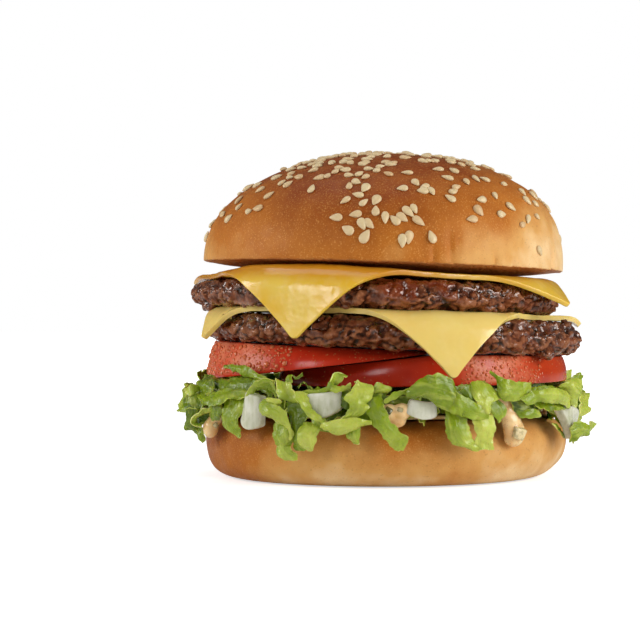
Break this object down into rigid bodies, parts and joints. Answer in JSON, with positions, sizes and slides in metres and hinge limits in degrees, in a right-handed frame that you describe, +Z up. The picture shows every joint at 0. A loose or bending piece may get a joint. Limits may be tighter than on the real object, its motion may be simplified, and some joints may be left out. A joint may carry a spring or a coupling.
{
  "type": "double cheeseburger",
  "caption": "Double cheeseburger: sesame bun around beef patties with draped cheese, tomato slices, shredded lettuce, diced onion and pale sauce.",
  "frame": {"origin": "middle of the heel's flat base, on the surface that the burger stands on", "axes": "+Z up through the stack; -Y is the front, where two cheese corners hang down; the layers above the heel lean slightly down towards +X"},
  "size_m": [0.1176, 0.118, 0.093],
  "materials": {
    "bun": "baked golden-brown crust, paler and tan near the rim",
    "sesame": "cream hulled sesame seeds",
    "patty": "seared ground beef, dark brown, craggy and wet with fat",
    "cheese": "soft yellow processed cheese, smooth satin",
    "tomato": "red tomato skin, glossy, with drops of water",
    "water": "clear drops of water",
    "lettuce": "crisp shredded lettuce, pale ribs and green blades",
    "onion": "raw diced white onion, moist and slightly translucent",
    "sauce": "pale peach burger sauce, glossy",
    "relish": "bits of dark green pickle relish"
  },
  "bodies": {
    "root": {"heel": "bun", "crown": "bun", "patty_lower": "patty", "patty_upper": "patty", "cheese_lower": "cheese", "cheese_upper": "cheese", "tomato_left": "tomato", "tomato_right": "tomato", "lettuce": "lettuce", "sauce": "sauce", "onion_1": "onion", "onion_2": "onion", "onion_3": "onion", "onion_4": "onion", "onion_5": "onion", "onion_6": "onion", "onion_7": "onion"}
  },
  "joints": []
}
